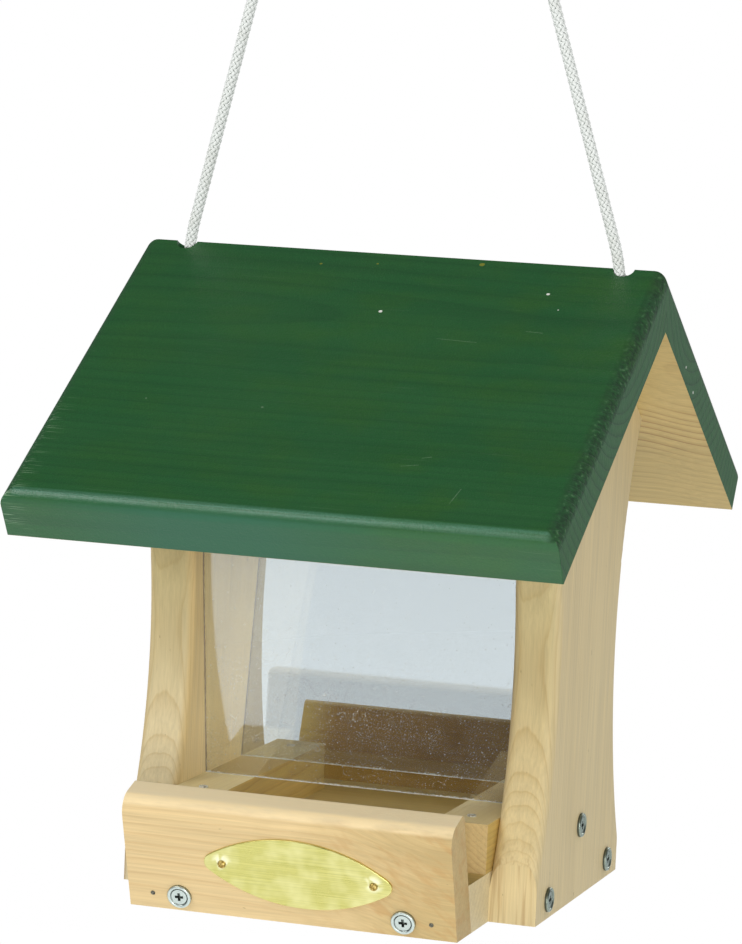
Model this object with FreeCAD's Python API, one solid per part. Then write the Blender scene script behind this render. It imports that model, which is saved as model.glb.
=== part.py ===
import FreeCAD, Part
import math
import os

from FreeCAD import Placement, Rotation, Vector

# Hanging bird feeding house. Two waisted pine side walls carry a seed tray with
# outward-leaning rails and two clear panes that form the seed hopper. A painted
# two-board roof rests on the gables and slides up the hanging cord for filling.
# Millimetres, +Z up, +X along the ridge, front towards -Y. The origin lies under
# the middle of the house, on the plane that the house stands on.

# Side walls
wall_gap = 131.5            # clear width between the two walls
wall_thickness = 18.9
wall_half_depth = 59.5      # flat foot, front and back
waist_half_depth = 44.3     # narrowest half depth
waist_height = 95.0         # level of the narrowest place
waist_radius = 180.0        # sweep of the curved front and back edges
wall_edge_radius = 4.5      # round-over along the curved edges

# Roof
roof_overhang = 24.1        # beyond the outer face of each wall
roof_thickness = 20.0
roof_slope = 32.25          # degrees
ridge_height = 249.9
eave_half_depth = 142.1     # ridge line to the eave's upper corner, measured level
roof_edge_radius = 5.5      # round-over along the eave and the gable ends
ridge_hole_stand_off = 6.25 # outer face of the wall to the hole's axis

# Seed tray
floor_thickness = 19.5
floor_half_depth = 81.5     # at the underside, where the rails stand
block_width = 21.0
block_height = 19.4
block_reach = 6.2           # beyond the wall's foot, front and back
rail_thickness = 17.1
front_rail_width = 46.0     # along the outer face, before rounding
rear_rail_width = 48.2      # the rear rail stands a little higher
rail_lean = 19.0            # degrees, outwards
rail_outer_radius = 7.0
rail_inner_radius = 2.5

# Panes
pane_thickness = 2.0
pane_lean = 8.4             # degrees, outwards towards the top
pane_foot = 21.0            # middle plane of the house to the middle of a pane's foot
pane_top_clearance = 1.5    # below the roof
groove_depth = 5.0
groove_clearance = 0.3

# Countersunk screws in cup washers
screw_head = 6.3            # diameter
screw_head_height = 0.95    # above the wood
screw_shank = 4.0           # diameter
screw_length = 28.0
screw_tip = 4.0             # length of the point
screw_tip_end = 0.8         # diameter
screw_recess = 3.4          # across the cross recess
screw_recess_slot = 1.1
screw_recess_depth = 1.3
washer_diameter = 9.6
washer_height = 1.4
washer_rim_width = 1.3      # crowned rim, in plan
washer_clearance = 0.2      # between the cones of head and washer
wall_screw_spread = 43.0    # middle of the wall to a low screw
wall_screw_height = 7.5
rail_screw_spread = 45.0
rail_screw_rise = 6.3       # along the rail's outer face

# Nails and pins
block_nail_head = 3.6       # diameter
block_nail_head_height = 0.7
block_nail_crown = 0.4      # round-over of the head
block_nail_shank = 1.6
block_nail_length = 30.0
block_nail_end = 13.0       # block's end to the nail
rail_pin_head = 1.8
rail_pin_head_height = 0.25
rail_pin_crown = 0.1
rail_pin_shank = 1.2
rail_pin_length = 24.0
rail_pin_spread = 56.0
rail_pin_rise = 6.4
crown_limit = 0.9           # most of a head's height that its round-over takes
bore_clearance = 0.3        # all round a shank
bore_tail = 0.5             # beyond a shank's end

# Plate on the front rail
plate_length = 75.0
plate_height = 29.0
plate_tip_radius = 4.0
plate_thickness = 0.9
plate_edge_radius = 0.4     # round-over of the rim
plate_shift = 4.0           # right of the middle
plate_rise = 21.9           # centre, along the rail's outer face
plate_turn = -2.2           # degrees, the right end hangs lower
plate_pin_inset = 7.2       # plate's end to the pin
plate_pin_head = 3.2
plate_pin_head_height = 0.9
plate_pin_crown = 0.75
plate_pin_shank = 1.4
plate_pin_length = 10.0

# Hanging cord
cord_diameter = 4.8
cord_offset = 0.3           # cord's axis outside the ridge hole's axis
cord_lean_left = 13.1       # degrees from plumb
cord_lean_right = 17.6
cord_turn_depth = 5.0       # the cord turns this far below the ridge line
cord_turn_radius = 14.0     # over the rim of the ridge hole
cord_rise = 122.1           # ridge line to the foot of the hanging loops
cord_join_drop = 2.0        # below the roof's inner ridge, where the cord leaves the roof
cord_hole_play = 1.85       # all round the cord, in the ridge and in the walls
wall_hole_drop = 22.0       # gable's tip to the hole's axis
knot_diameter = 3.0 * cord_diameter
knot_length = 2.3 * cord_diameter
knot_radius = 0.42 * cord_diameter
loop_knot_length = 2.7 * cord_diameter
loop_radius = 8.5           # middle of the cord
loop_height = 14.0          # top of the knot to the middle of the bow

# Shared places worked out from the sizes above
nothing = 1e-6              # a smaller run or step counts as none
X_AXIS = Vector(1, 0, 0)
Y_AXIS = Vector(0, 1, 0)
Z_AXIS = Vector(0, 0, 1)
slope_rise = math.tan(math.radians(roof_slope))
lean_run = math.tan(math.radians(rail_lean))
inner_ridge = ridge_height - roof_thickness / math.cos(math.radians(roof_slope))
wall_inner = wall_gap / 2
wall_outer = wall_inner + wall_thickness
block_top = floor_thickness + block_height
block_half_depth = wall_half_depth + block_reach
rail_foot = floor_half_depth + rail_thickness / math.cos(math.radians(rail_lean))
roof_length = 2 * (wall_outer + roof_overhang)
cord_hole = cord_diameter + 2 * cord_hole_play
ridge_hole_x = wall_outer + ridge_hole_stand_off
cord_x = ridge_hole_x + cord_offset
cord_top = ridge_height + cord_rise
cord_hole_height = inner_ridge - wall_hole_drop
cord_join = inner_ridge - cord_join_drop


def face_of(points):
    """Flat face inside a closed polygon."""
    return Part.Face(Part.makePolygon(points + points[:1]))


def prism_yz(points, x_start, length):
    """Polygon of (y, z) pairs pushed out along X."""
    return face_of([Vector(x_start, y, z) for y, z in points]).extrude(X_AXIS * length)


def mirrored_y(shape):
    return shape.mirror(Vector(0, 0, 0), Y_AXIS)


def mirrored_x(shape):
    return shape.mirror(Vector(0, 0, 0), X_AXIS)


def edges_through(shape, points, tolerance=0.01):
    """Edges of a shape that pass through the given points."""
    vertices = [Part.Vertex(p) for p in points]
    return [e for e in shape.Edges if any(e.distToShape(v)[0] < tolerance for v in vertices)]


def placed(shape, seat, direction):
    """Copy of a fastener drawn along -Z under its head, set at a seat and pointed into the wood."""
    turn = Rotation(Vector(0, 0, -1), direction)
    copy = shape.copy()
    copy.Placement = Placement(seat, turn)
    return copy


def bore(seat, direction, diameter, length):
    """Hole for a shank: its clearance all round and a little air at its end."""
    radius = diameter / 2 + bore_clearance
    return Part.makeCylinder(radius, length + bore_tail, seat, direction)


# Side walls


def gable_corner():
    """(y, z) where the curved back edge of a wall reaches the slope of the roof's underside."""
    centre_y = waist_half_depth + waist_radius
    rise = inner_ridge - waist_height
    a = 1 + slope_rise ** 2
    b = -2 * (centre_y + slope_rise * rise)
    c = centre_y ** 2 + rise ** 2 - waist_radius ** 2
    y = (-b - math.sqrt(b * b - 4 * a * c)) / (2 * a)
    return y, inner_ridge - slope_rise * y


def swept_half_depth(z):
    """Half depth of the curved edge at level z."""
    return waist_half_depth + waist_radius - math.sqrt(waist_radius ** 2 - (z - waist_height) ** 2)


def wall_blank():
    """Right wall without grooves or holes: swept edges are rounded over, then the foot is cut flat."""
    top_y, top_z = gable_corner()
    foot_y = swept_half_depth(0)

    def at(y, z):
        return Vector(wall_inner, y, z)

    front_arc = Part.Arc(at(-foot_y, 0), at(-waist_half_depth, waist_height), at(-top_y, top_z))
    back_arc = Part.Arc(at(top_y, top_z), at(waist_half_depth, waist_height), at(foot_y, 0))
    outline = Part.Wire([
        front_arc.toShape(),
        Part.LineSegment(at(-top_y, top_z), at(0, inner_ridge)).toShape(),
        Part.LineSegment(at(0, inner_ridge), at(top_y, top_z)).toShape(),
        back_arc.toShape(),
        Part.LineSegment(at(foot_y, 0), at(-foot_y, 0)).toShape(),
    ])
    board = Part.Face(outline).extrude(X_AXIS * wall_thickness)
    waists = [
        Vector(x, y, waist_height)
        for x in (wall_inner, wall_outer)
        for y in (-waist_half_depth, waist_half_depth)
    ]
    board = board.makeFillet(wall_edge_radius, edges_through(board, waists))
    offcut = Part.makeBox(
        wall_thickness, waist_radius, waist_height, Vector(wall_inner, wall_half_depth, 0)
    )
    return board.cut([offcut, mirrored_y(offcut)])


def pane_slab(x_half, thickness, foot_drop, height):
    """Leaning slab in the front pane's plane, its foot that far below the block tops."""
    slab = Part.makeBox(2 * x_half, thickness, height, Vector(-x_half, -thickness / 2, -foot_drop))
    lift = thickness / 2 * math.sin(math.radians(pane_lean))
    slab.Placement = Placement(Vector(0, -pane_foot, block_top + lift), Rotation(X_AXIS, pane_lean))
    return slab


def side_wall(bores):
    """Right wall with its two pane grooves, the cord's hole and the screw holes."""
    groove_width = pane_thickness + 2 * groove_clearance
    groove = pane_slab(wall_inner + groove_depth, groove_width, groove_clearance, ridge_height)
    anchor_hole = Part.makeCylinder(
        cord_hole / 2, wall_thickness, Vector(wall_inner, 0, cord_hole_height), X_AXIS
    )
    return wall_blank().cut([groove, mirrored_y(groove), anchor_hole] + bores)


# Panes


def pane_height():
    """Height along the pane that stays clear of the roof's underside."""
    lean = math.radians(pane_lean)
    outer_y = pane_foot + pane_thickness / 2
    room = inner_ridge - pane_top_clearance - slope_rise * outer_y - block_top
    return room / (math.cos(lean) + slope_rise * math.sin(lean))


def front_pane():
    return pane_slab(wall_inner + groove_depth - groove_clearance, pane_thickness, 0, pane_height())


# Seed tray


def floor_board(bores):
    """Bottom board, its long edges bevelled to the rails' lean."""
    top_half = floor_half_depth + floor_thickness * lean_run
    outline = [
        (-floor_half_depth, 0),
        (floor_half_depth, 0),
        (top_half, floor_thickness),
        (-top_half, floor_thickness),
    ]
    return prism_yz(outline, -wall_inner, wall_gap).cut(bores)


def cross_block(bores):
    """Right block: it lies on the floor against the wall and carries the panes' feet."""
    corner = Vector(wall_inner - block_width, -block_half_depth, floor_thickness)
    return Part.makeBox(block_width, 2 * block_half_depth, block_height, corner).cut(bores)


def rail_point(rise, depth=0.0):
    """(y, z) on the front rail: up its outer face, then square into its thickness."""
    lean = math.radians(rail_lean)
    y = -rail_foot - rise * math.sin(lean) + depth * math.cos(lean)
    return y, rise * math.cos(lean) + depth * math.sin(lean)


def tray_rail(width, bores):
    """Rail in the front place: bevelled foot, wide round-over outside, soft edge inside."""
    outline = [
        (-rail_foot, 0),
        rail_point(width),
        rail_point(width, rail_thickness),
        (-floor_half_depth, 0),
    ]
    rail = prism_yz(outline, -wall_inner, wall_gap)
    for corner, radius in ((outline[1], rail_outer_radius), (outline[2], rail_inner_radius)):
        rail = rail.makeFillet(radius, edges_through(rail, [Vector(0, *corner)]))
    return rail.cut(bores)


# Fasteners


def revolved(profile):
    """Closed wire in the XZ plane turned once about Z."""
    return Part.Face(profile).revolve(Vector(0, 0, 0), Z_AXIS, 360)


def countersunk_screw():
    """Flat head with a cross recess, 90 degree cone, shank and point; the wood is the plane z = 0."""
    head = screw_head / 2
    shank = screw_shank / 2
    neck = screw_head_height - (head - shank)
    outline = [
        Vector(0, 0, screw_head_height),
        Vector(head, 0, screw_head_height),
        Vector(shank, 0, neck),
        Vector(shank, 0, screw_tip - screw_length),
        Vector(screw_tip_end / 2, 0, -screw_length),
        Vector(0, 0, -screw_length),
    ]
    body = revolved(Part.makePolygon(outline + outline[:1]))
    bar_corner = Vector(
        -screw_recess / 2, -screw_recess_slot / 2, screw_head_height - screw_recess_depth
    )
    bar = Part.makeBox(screw_recess, screw_recess_slot, screw_recess_depth, bar_corner)
    cross = bar.copy()
    cross.rotate(Vector(0, 0, 0), Z_AXIS, 90)
    return body.cut([bar, cross])


def cup_washer():
    """Ring with a crowned rim and a cone inside that the screw's head sits in."""
    outer = washer_diameter / 2
    inner_rim = outer - washer_rim_width
    shoulder = washer_height / 2
    gap = washer_clearance * math.sqrt(2)
    mouth = screw_head / 2 + gap
    foot = mouth - screw_head_height
    crown = Vector(outer - washer_rim_width / 2, 0, washer_height)
    profile = [
        Part.LineSegment(Vector(foot, 0, 0), Vector(outer, 0, 0)).toShape(),
        Part.LineSegment(Vector(outer, 0, 0), Vector(outer, 0, shoulder)).toShape(),
        Part.Arc(Vector(outer, 0, shoulder), crown, Vector(inner_rim, 0, screw_head_height)).toShape(),
        Part.LineSegment(Vector(inner_rim, 0, screw_head_height), Vector(foot, 0, 0)).toShape(),
    ]
    return revolved(Part.Wire(profile))


def headed_pin(head, head_height, crown, shank, length):
    """Nail or pin whose head stands on the plane z = 0 and is rounded over at its top."""
    cap = Part.makeCylinder(head / 2, head_height)
    round_over = min(crown, crown_limit * head_height)
    cap = cap.makeFillet(round_over, edges_through(cap, [Vector(head / 2, 0, head_height)]))
    return cap.fuse(Part.makeCylinder(shank / 2, length, Vector(0, 0, 0), -Z_AXIS)).removeSplitter()


def rail_inward():
    """Direction square into the front rail."""
    lean = math.radians(rail_lean)
    return Vector(0, math.cos(lean), math.sin(lean))


def wall_screw_seats():
    """Two low screws into the floor and one between them into the block, on the right wall."""
    low = [Vector(wall_outer, side * wall_screw_spread, wall_screw_height) for side in (-1, 1)]
    return low + [Vector(wall_outer, 0, floor_thickness + block_height / 2)]


def rail_seats(spread, rise):
    return [Vector(side * spread, *rail_point(rise)) for side in (-1, 1)]


def block_nail_seats():
    """Front and back nail in the middle of the right block's top."""
    x = wall_inner - block_width / 2
    y = block_half_depth - block_nail_end
    return [Vector(x, side * y, block_top) for side in (-1, 1)]


# Plate


def plate_seat(along=0.0):
    """Point under the plate, measured from its centre along its length."""
    turn = math.radians(plate_turn)
    rise = plate_rise + along * math.sin(turn)
    return Vector(plate_shift + along * math.cos(turn), *rail_point(rise))


def plate_pin_seats():
    reach = plate_length / 2 - plate_pin_inset
    return [plate_seat(side * reach) for side in (-1, 1)]


def plate_outline():
    """Pointed oval: two shallow arcs that run tangent into small round tips."""
    crown = plate_height / 2
    tip_x = plate_length / 2 - plate_tip_radius
    side_radius = (tip_x ** 2 / (crown - plate_tip_radius) + crown + plate_tip_radius) / 2
    side_centre = Vector(0, crown - side_radius, 0)
    meet = side_centre + (Vector(tip_x, 0, 0) - side_centre).normalize() * side_radius

    def corner(x_side, y_side):
        return Vector(x_side * meet.x, y_side * meet.y, 0)

    tip = Vector(plate_length / 2, 0, 0)
    top = Vector(0, crown, 0)
    return Part.Wire([
        Part.Arc(corner(-1, 1), top, corner(1, 1)).toShape(),
        Part.Arc(corner(1, 1), tip, corner(1, -1)).toShape(),
        Part.Arc(corner(1, -1), -top, corner(-1, -1)).toShape(),
        Part.Arc(corner(-1, -1), -tip, corner(-1, 1)).toShape(),
    ])


def name_plate(bores):
    """Bare plate with a rounded rim, flat on the front rail."""
    blank = Part.Face(plate_outline()).extrude(Z_AXIS * plate_thickness)
    rim = [e for e in blank.Edges if e.CenterOfMass.z > plate_thickness - nothing]
    blank = blank.makeFillet(plate_edge_radius, rim)
    blank.rotate(Vector(0, 0, 0), Z_AXIS, plate_turn)
    blank.Placement = Placement(plate_seat(), Rotation(X_AXIS, 90 + rail_lean)) * blank.Placement
    return blank.cut(bores)


# Roof


def front_roof_board():
    """Front board: mitred at the ridge, its outer edges rounded over, half of each cord hole."""
    run = roof_thickness * math.sin(math.radians(roof_slope))
    drop = roof_thickness * math.cos(math.radians(roof_slope))
    eave_height = ridge_height - eave_half_depth * slope_rise
    outline = [
        (0, inner_ridge),
        (0, ridge_height),
        (-eave_half_depth, eave_height),
        (run - eave_half_depth, eave_height - drop),
    ]
    board = prism_yz(outline, -roof_length / 2, roof_length)
    mid_slope = (-eave_half_depth / 2, (ridge_height + eave_height) / 2)
    rounded = [Vector(0, *outline[2])]
    rounded += [Vector(side * roof_length / 2, *mid_slope) for side in (-1, 1)]
    board = board.makeFillet(roof_edge_radius, edges_through(board, rounded))
    holes = [
        Part.makeCylinder(cord_hole / 2, ridge_height, Vector(side * ridge_hole_x, 0, 0), Z_AXIS)
        for side in (-1, 1)
    ]
    return board.cut(holes)


# Hanging cord


def rounded_route(points, radii):
    """Wire of straight runs through the points, with a tangent arc at each inner point."""
    edges = []
    start = points[0]
    for before, corner, after, radius in zip(points, points[1:], points[2:], radii):
        into = (before - corner).normalize()
        out = (after - corner).normalize()
        half_angle = into.getAngle(out) / 2
        reach = radius / math.tan(half_angle)
        bisector = (into + out).normalize()
        first = corner + into * reach
        middle = corner + bisector * (radius / math.sin(half_angle) - radius)
        last = corner + out * reach
        if (first - start).Length > nothing:
            edges.append(Part.LineSegment(start, first).toShape())
        edges.append(Part.Arc(first, middle, last).toShape())
        start = last
    edges.append(Part.LineSegment(start, points[-1]).toShape())
    return Part.Wire(edges)


def cord_tube(name, points, radii):
    """Plain round tube along a route, with its volume compared with section times length."""
    route = rounded_route(points, radii)
    first_run = (points[1] - points[0]).normalize()
    ring = Part.Wire(Part.Circle(points[0], first_run, cord_diameter / 2).toShape())
    tube = route.makePipeShell([ring], True, True)
    expected = math.pi * cord_diameter ** 2 / 4 * route.Length
    print(f"{name}: length {route.Length:.1f}, radii {radii}, volume ratio {tube.Volume / expected:.4f}")
    return tube


def cord_inner(name):
    """Right inner stretch: from its knot through the wall, round the hole's rim and up to the roof."""
    route = [
        Vector(wall_inner, 0, cord_hole_height),
        Vector(cord_x, 0, cord_hole_height),
        Vector(cord_x, 0, cord_join),
    ]
    return cord_tube(name, route, [cord_x - wall_outer])


def leg_direction(lean):
    angle = math.radians(lean)
    return Vector(-math.sin(angle), 0, math.cos(angle))


def leg_end(lean):
    """Top of a right leg, under the knot of its hanging loop."""
    turn = Vector(cord_x, 0, ridge_height - cord_turn_depth)
    return turn + leg_direction(lean) * ((cord_top - turn.z) / math.cos(math.radians(lean)))


def cord_leg(name, lean):
    """Right leg: up through the ridge hole, over its rim and straight to the hanging loop."""
    route = [
        Vector(cord_x, 0, cord_join),
        Vector(cord_x, 0, ridge_height - cord_turn_depth),
        leg_end(lean),
    ]
    return cord_tube(name, route, [cord_turn_radius])


def inner_knot():
    """Stopper knot against the inner face of the right wall."""
    seat = Vector(wall_inner - knot_length, 0, cord_hole_height)
    knot = Part.makeCylinder(knot_diameter / 2, knot_length, seat, X_AXIS)
    return knot.makeFillet(knot_radius, knot.Edges)


def half_bow():
    """Left half of the bow: straight out of the knot, then tangent round to the top."""
    foot = Vector(0, 0, loop_knot_length - knot_radius)
    height = knot_radius + loop_height
    spread = math.asin(loop_radius / height)
    outward = Vector(-math.sin(spread), 0, math.cos(spread))
    side = foot + outward * (height * math.cos(spread))
    middle = foot + Vector(0, 0, height)
    shoulder = middle + Vector(-math.cos(spread / 2), 0, math.sin(spread / 2)) * loop_radius
    top = middle + Vector(0, 0, loop_radius)
    path = Part.Wire([
        Part.LineSegment(foot, side).toShape(),
        Part.Arc(side, shoulder, top).toShape(),
    ])
    ring = Part.Wire(Part.Circle(foot, outward, cord_diameter / 2).toShape())
    return path.makePipeShell([ring], True, True)


def hanging_loop(lean):
    """Knot and bow of the cord at the top of a right leg."""
    knot = Part.makeCylinder(knot_diameter / 2, loop_knot_length)
    knot = knot.makeFillet(knot_radius, knot.Edges)
    bow = half_bow()
    loop = knot.fuse([bow, mirrored_x(bow)]).removeSplitter()
    loop.Placement = Placement(leg_end(lean), Rotation(Y_AXIS, -lean))
    return loop


# The whole house


def build():
    """All nodes by name."""
    screw = countersunk_screw()
    washer = cup_washer()
    block_nail = headed_pin(
        block_nail_head, block_nail_head_height, block_nail_crown, block_nail_shank, block_nail_length
    )
    rail_pin = headed_pin(
        rail_pin_head, rail_pin_head_height, rail_pin_crown, rail_pin_shank, rail_pin_length
    )
    plate_pin = headed_pin(
        plate_pin_head, plate_pin_head_height, plate_pin_crown, plate_pin_shank, plate_pin_length
    )

    inward = rail_inward()
    wall_seats = wall_screw_seats()
    screw_seats = rail_seats(rail_screw_spread, rail_screw_rise)
    pin_seats = rail_seats(rail_pin_spread, rail_pin_rise)
    nail_seats = block_nail_seats()
    plate_face = [p - inward * plate_thickness for p in plate_pin_seats()]

    wall_bores = [bore(p, -X_AXIS, screw_shank, screw_length) for p in wall_seats]
    nail_bores = [bore(p, -Z_AXIS, block_nail_shank, block_nail_length) for p in nail_seats]
    screw_bores = [bore(p, inward, screw_shank, screw_length) for p in screw_seats]
    pin_bores = [bore(p, inward, rail_pin_shank, rail_pin_length) for p in pin_seats]
    plate_bores = [bore(p, inward, plate_pin_shank, plate_pin_length) for p in plate_face]

    side_bores = wall_bores + nail_bores
    rail_bores = screw_bores + pin_bores
    floor_bores = side_bores + [mirrored_x(b) for b in side_bores]
    floor_bores += rail_bores + [mirrored_y(b) for b in rail_bores]

    wall_screws = Part.makeCompound([placed(screw, p, -X_AXIS) for p in wall_seats])
    wall_washers = Part.makeCompound([placed(washer, p, -X_AXIS) for p in wall_seats])
    rail_screws = Part.makeCompound([placed(screw, p, inward) for p in screw_seats])
    rail_washers = Part.makeCompound([placed(washer, p, inward) for p in screw_seats])
    rail_pins = [placed(rail_pin, p, inward) for p in pin_seats]
    block_nails = [placed(block_nail, p, -Z_AXIS) for p in nail_seats]
    wall = side_wall(wall_bores)
    block = cross_block(side_bores)
    pane = front_pane()
    board = front_roof_board()

    return {
        "side_wall_left": mirrored_x(wall),
        "side_wall_right": wall,
        "floor_board": floor_board(floor_bores),
        "cross_block_left": mirrored_x(block),
        "cross_block_right": block,
        "front_rail": tray_rail(front_rail_width, rail_bores + plate_bores),
        "rear_rail": mirrored_y(tray_rail(rear_rail_width, rail_bores)),
        "front_pane": pane,
        "rear_pane": mirrored_y(pane),
        "name_plate": name_plate(plate_bores),
        "plate_pins": Part.makeCompound([placed(plate_pin, p, inward) for p in plate_face]),
        "left_wall_screws": mirrored_x(wall_screws),
        "right_wall_screws": wall_screws,
        "front_rail_screws": rail_screws,
        "rear_rail_screws": mirrored_y(rail_screws),
        "left_wall_washers": mirrored_x(wall_washers),
        "right_wall_washers": wall_washers,
        "front_rail_washers": rail_washers,
        "rear_rail_washers": mirrored_y(rail_washers),
        "rail_pins": Part.makeCompound(rail_pins + [mirrored_y(p) for p in rail_pins]),
        "block_nails": Part.makeCompound(block_nails + [mirrored_x(n) for n in block_nails]),
        "cord_inner_left": mirrored_x(cord_inner("cord_inner_left")),
        "cord_inner_right": cord_inner("cord_inner_right"),
        "cord_knot_left": mirrored_x(inner_knot()),
        "cord_knot_right": inner_knot(),
        "front_roof_board": board,
        "rear_roof_board": mirrored_y(board),
        "cord_leg_left": mirrored_x(cord_leg("cord_leg_left", cord_lean_left)),
        "cord_leg_right": cord_leg("cord_leg_right", cord_lean_right),
        "hanging_loop_left": mirrored_x(hanging_loop(cord_lean_left)),
        "hanging_loop_right": hanging_loop(cord_lean_right),
    }


os.makedirs("parts", exist_ok=True)
for node, shape in build().items():
    shape.exportStep(f"parts/{node}.step")
    box = shape.BoundBox
    low = f"({box.XMin:.1f}, {box.YMin:.1f}, {box.ZMin:.1f})"
    high = f"({box.XMax:.1f}, {box.YMax:.1f}, {box.ZMax:.1f})"
    print(f"{node}: solids {len(shape.Solids)}, valid {shape.isValid()}, volume {shape.Volume:.0f}")
    print(f"    from {low} to {high}")
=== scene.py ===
import math
from collections import namedtuple

import bpy
from mathutils import Euler, Matrix, Vector


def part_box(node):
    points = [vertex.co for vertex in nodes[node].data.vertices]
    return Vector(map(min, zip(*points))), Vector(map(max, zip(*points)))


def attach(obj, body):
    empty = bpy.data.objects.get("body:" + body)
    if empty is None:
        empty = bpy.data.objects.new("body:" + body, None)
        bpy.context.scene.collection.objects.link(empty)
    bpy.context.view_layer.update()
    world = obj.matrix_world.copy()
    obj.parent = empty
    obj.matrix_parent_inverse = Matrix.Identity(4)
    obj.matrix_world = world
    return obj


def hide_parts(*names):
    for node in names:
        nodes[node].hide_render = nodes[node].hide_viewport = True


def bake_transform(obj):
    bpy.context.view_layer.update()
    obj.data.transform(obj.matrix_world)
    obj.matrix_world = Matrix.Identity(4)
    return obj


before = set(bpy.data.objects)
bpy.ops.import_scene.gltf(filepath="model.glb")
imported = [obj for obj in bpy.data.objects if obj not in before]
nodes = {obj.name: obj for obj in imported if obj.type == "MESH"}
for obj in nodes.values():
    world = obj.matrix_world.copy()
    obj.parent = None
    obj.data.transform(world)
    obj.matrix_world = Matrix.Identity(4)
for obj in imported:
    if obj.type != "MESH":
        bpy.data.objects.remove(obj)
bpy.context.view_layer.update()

# Cord, in metres. Its route is the same as in the part's source
cord_diameter = 0.0048
cord_x = 0.0912
cord_hole_height = 0.20425
cord_turn_height = 0.2449
cord_top = 0.372
cord_lean = {"left": math.radians(13.1), "right": math.radians(17.6)}
wall_bend_weight = 2
straight_start = 6 * cord_diameter
wall_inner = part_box("side_wall_right")[0].x
sign_of = {"left": -1, "right": 1}

# Braid, its lengths in cord diameters
strands_each_way = 6
braid_pitch = 3.6
strand_half_width = 0.15
strand_half_thickness = 0.075
strand_weave = 0.068
core_radius = 0.33
samples_per_crossing = 3
strand_corners = 6
line_resolution = 40

# Knots, their lengths in cord diameters. A wrap's ends are tucked in to a share of its radius
wrap_radius = 0.98
wrap_pitch = 0.97
wrap_margin = 0.5
wrap_tuck = 0.55
wrap_points_per_turn = 10
stopper_turns = 1.75
loop_knot_turns = 2.0
tail_length = 1.5
tail_bend = 0.6
tail_droop = 0.35

# One half of a hanging loop, from inside its knot to its crown: half width and height in cord diameters
loop_half = [(0.45, 1.0), (0.5, 2.9), (2.4, 4.8), (2.4, 6.15), (0.9, 7.35)]

# Places and sizes that the materials use, in millimetres
mm = 1000
roof_slope = math.radians(32.25)
roof_thickness = 20
roof_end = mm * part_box("front_roof_board")[1].x
ridge_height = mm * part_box("front_roof_board")[1].z
wall_face = mm * wall_inner
groove_depth = 5
pane_thickness = 2
pane_lean = math.radians(8.4)
pane_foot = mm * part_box("front_pane")[0].z
pane_foot_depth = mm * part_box("rear_pane")[0].y + 0.5 * pane_thickness
dent_radius = 4.8
dent_depth = 0.35

# Camera, matched to the photograph
image_long_side = 944
camera_place = (0.4922, -1.5368, 0.3470)
camera_yaw = math.radians(18.06)
camera_pitch = math.radians(6.51)
camera_roll = math.radians(2.56)
camera_focal_pixels = 4077.4
camera_sensor = 36

# Studio, in metres. The ceiling fades in between two upward parts of a direction
floor_drop = 0.22
floor_radius = 0.85
floor_inner_radius = 0.3 * floor_radius
floor_fade = 0.4
floor_sides = 64
floor_glow = 0.4
world_level = 0.44
ceiling_level = 0.1
ceiling_start = -0.3
ceiling_full = 0.12
plain_white = (1, 1, 1, 1)
gloss_tint = (1.2, 1.29, 1.33, 1)
lamp_size = 1.0
lamp_target = Vector((0, 0, 0.12))
lamps = [
    ("key", (-1.2, -1.75, 1.65), 20, (1.0, 0.99, 0.97)),
    ("fill", (1.0, -2.2, 0.2), 28, (1.0, 0.99, 0.97)),
    ("back", (0.7, 2.1, 1.1), 18, (1.0, 1.0, 1.0)),
]


# Camera


def add_camera():
    """The photograph's view: its long side takes the whole sensor."""
    data = bpy.data.cameras.new("camera")
    data.sensor_width = camera_sensor
    data.lens = camera_focal_pixels / image_long_side * camera_sensor
    camera = bpy.data.objects.new("camera", data)
    bpy.context.scene.collection.objects.link(camera)
    turn = Euler((math.pi / 2 - camera_pitch, 0, camera_yaw)).to_matrix()
    turn = turn @ Matrix.Rotation(camera_roll, 3, "Z")
    camera.matrix_world = Matrix.Translation(camera_place) @ turn.to_4x4()
    bpy.context.scene.camera = camera


# Meshes


def add_piece(name, vertices, faces, material):
    mesh = bpy.data.meshes.new(name)
    mesh.from_pydata(vertices, [], faces)
    mesh.materials.append(material)
    mesh.shade_smooth()
    piece = bpy.data.objects.new(name, mesh)
    bpy.context.scene.collection.objects.link(piece)
    return piece


def tube_faces(rings, corners, first):
    """Faces of a closed tube whose rings of vertices follow each other from the index first."""
    faces = []
    for ring in range(rings - 1):
        for corner in range(corners):
            a = first + ring * corners + corner
            b = first + ring * corners + (corner + 1) % corners
            faces.append((a, b, b + corners, a + corners))
    last = first + (rings - 1) * corners
    faces.append(tuple(range(first + corners - 1, first - 1, -1)))
    faces.append(tuple(range(last, last + corners)))
    return faces


# Lines that cords follow


def smooth_line(points, weights=None):
    """Points read along one spline that has these control points."""
    weights = weights or [1] * len(points)
    curve = bpy.data.curves.new("line", "CURVE")
    curve.dimensions = "3D"
    curve.resolution_u = line_resolution
    spline = curve.splines.new("NURBS")
    spline.points.add(len(points) - 1)
    for knot, point, weight in zip(spline.points, points, weights):
        knot.co = (*point, weight)
    spline.order_u = 3
    spline.use_endpoint_u = True
    carrier = bpy.data.objects.new("line", curve)
    mesh = bpy.data.meshes.new_from_object(carrier)
    line = [vertex.co.copy() for vertex in mesh.vertices]
    bpy.data.objects.remove(carrier)
    bpy.data.curves.remove(curve)
    bpy.data.meshes.remove(mesh)
    return line


def line_length(line):
    return sum((b - a).length for a, b in zip(line, line[1:]))


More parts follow.
